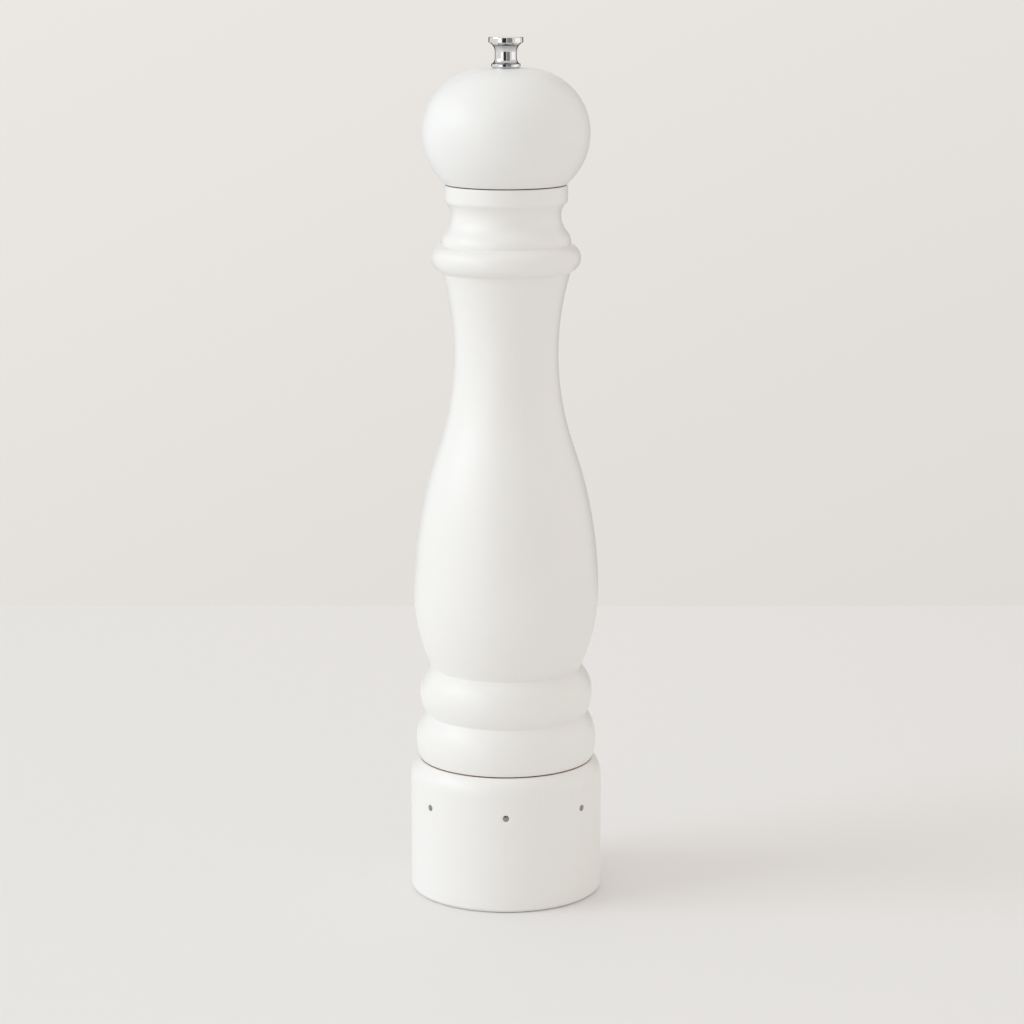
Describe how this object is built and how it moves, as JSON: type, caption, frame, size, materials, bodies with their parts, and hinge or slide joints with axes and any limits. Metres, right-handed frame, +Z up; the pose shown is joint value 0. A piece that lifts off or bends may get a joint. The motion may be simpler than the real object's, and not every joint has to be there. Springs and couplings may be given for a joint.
{
  "type": "pepper mill",
  "caption": "Tall turned wooden pepper mill in white lacquer; the head turns a steel grinder and the base ring sets the grind.",
  "frame": {"origin": "on the mill's axis, on the plane that the base ring stands on", "axes": "+Z up along the axis; -Y is the front, where one setting mark faces at rest"},
  "size_m": [0.0674, 0.0674, 0.3],
  "materials": {
    "lacquered_wood": "white satin lacquer on turned beech; bare wood inside",
    "polished_chrome": "polished",
    "plain_steel": "turned and pressed, satin",
    "dark_steel": "blackened",
    "burr_steel": "hardened, cut teeth",
    "spring_steel": "drawn wire",
    "nylon": "natural nylon, moulded",
    "dark_fibre": "pressed dark fibre"
  },
  "bodies": {
    "mill_body": {"body": "lacquered_wood", "neck_bush": "nylon", "mechanism_housing": "plain_steel", "housing_screws": "dark_steel", "upper_guide": "nylon", "slip_washer": "dark_fibre", "carrier_spring": "spring_steel"},
    "drive": {"spindle": "plain_steel", "rotor": "burr_steel", "rotor_pin": "plain_steel", "spindle_bush": "nylon", "thrust_pin": "plain_steel"},
    "head": {"head": "lacquered_wood", "drive_plate": "plain_steel", "drive_plate_screws": "dark_steel"},
    "knob_washer": {"knob_washer": "plain_steel"},
    "knob": {"knob": "polished_chrome"},
    "base": {"base_ring": "lacquered_wood", "adjuster_nut": "nylon", "setting_pins": "dark_steel", "detent_ball": "plain_steel", "detent_spring": "spring_steel"},
    "stator": {"stator": "burr_steel", "stator_carrier": "plain_steel", "lower_bridge": "plain_steel", "bridge_screws": "dark_steel"}
  },
  "joints": [
    {"name": "head_turn", "type": "hinge", "parent": "mill_body", "child": "drive", "pos_m": [0, 0, 0], "axis": [0, 0, 1], "continuous": true},
    {"name": "head_lift", "type": "slide", "parent": "drive", "child": "head", "axis": [0, 0, 1], "range_m": [0, 0.07]},
    {"name": "knob_rise", "type": "slide", "parent": "head", "child": "knob_washer", "axis": [0, 0, 1], "range_m": [0, 0.004]},
    {"name": "knob_turn", "type": "hinge", "parent": "knob_washer", "child": "knob", "pos_m": [0, 0, 0.2897], "axis": [0, 0, 1], "range_deg": [0, 1800]},
    {"name": "grind_select", "type": "hinge", "parent": "mill_body", "child": "base", "pos_m": [0, 0, 0], "axis": [0, 0, 1], "range_deg": [-104, 156]},
    {"name": "stator_lift", "type": "slide", "parent": "mill_body", "child": "stator", "axis": [0, 0, 1], "range_m": [-0.0008, 0.0012], "deforming": ["carrier_spring"]}
  ],
  "couplings": [
    {"joint": "knob_turn", "follows": "knob_rise", "rad_per_m": 7854},
    {"joint": "grind_select", "follows": "stator_lift", "rad_per_m": 2268.9}
  ]
}
